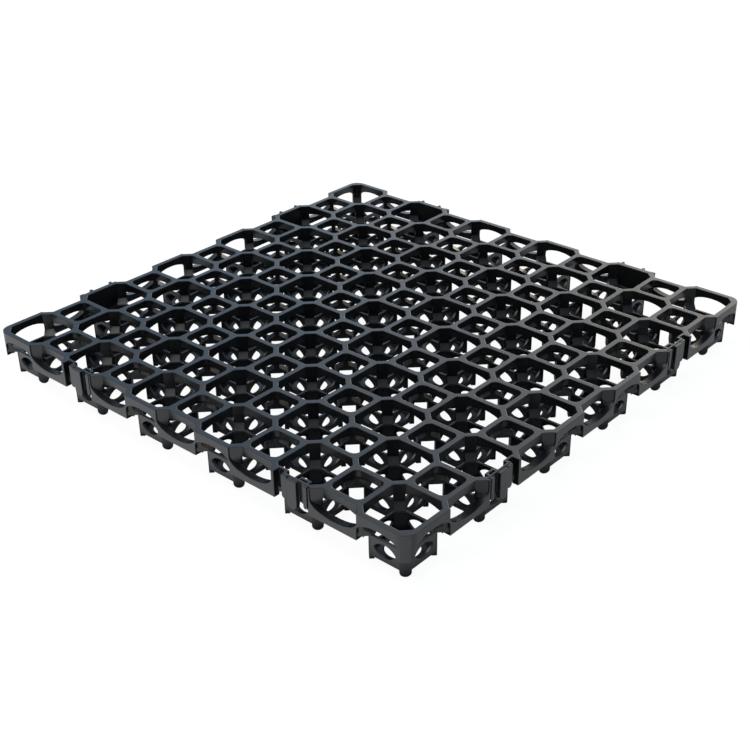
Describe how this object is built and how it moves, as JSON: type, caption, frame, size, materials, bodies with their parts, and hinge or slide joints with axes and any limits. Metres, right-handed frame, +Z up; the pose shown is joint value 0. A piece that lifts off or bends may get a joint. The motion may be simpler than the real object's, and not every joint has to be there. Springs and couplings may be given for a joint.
{
  "type": "drainage cell",
  "caption": "Flat moulded plastic drainage panel: a grid of open cells on short feet, with interlocking ribs along its sides, laid under turf, gravel or paving to let water through.",
  "frame": {"origin": "centre of the panel's footprint, on the plane that the feet stand on", "axes": "+Z up through the panel's thickness, +X and +Y along its sides; the sides facing -Y and +X receive, the sides facing +Y and -X enter"},
  "size_m": [0.3362, 0.3362, 0.03],
  "materials": {
    "panel": "black moulded plastic, satin on the top ribs"
  },
  "bodies": {
    "root": {"drainage_cell": "panel"}
  },
  "joints": []
}
